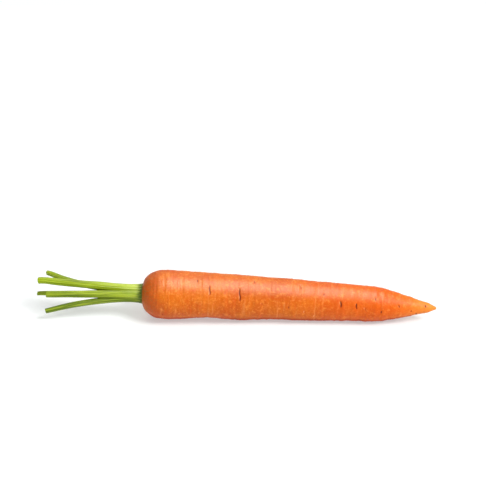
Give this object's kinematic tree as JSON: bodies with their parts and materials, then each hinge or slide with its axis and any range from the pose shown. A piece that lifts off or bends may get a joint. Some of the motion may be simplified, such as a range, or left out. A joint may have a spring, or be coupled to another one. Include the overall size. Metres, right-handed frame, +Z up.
{
  "type": "carrot",
  "caption": "Fresh carrot lying on its side, a round-shouldered tapering root with its green leaf stalks cut short.",
  "frame": {"origin": "on the surface that the carrot lies on, under the middle of its bounding box", "axes": "+X from the cut leaf stalks to the tip of the root, +Z up, the root bowing a little towards +Y"},
  "size_m": [0.2562, 0.032, 0.0317],
  "materials": {
    "root_skin": "satin",
    "leaf_stalk": "satin"
  },
  "bodies": {
    "root": {"root": "root_skin", "leaf_stalk_top": "leaf_stalk", "leaf_stalk_front": "leaf_stalk", "leaf_stalk_low": "leaf_stalk", "leaf_stalk_back": "leaf_stalk", "leaf_stalk_high": "leaf_stalk"}
  },
  "joints": []
}
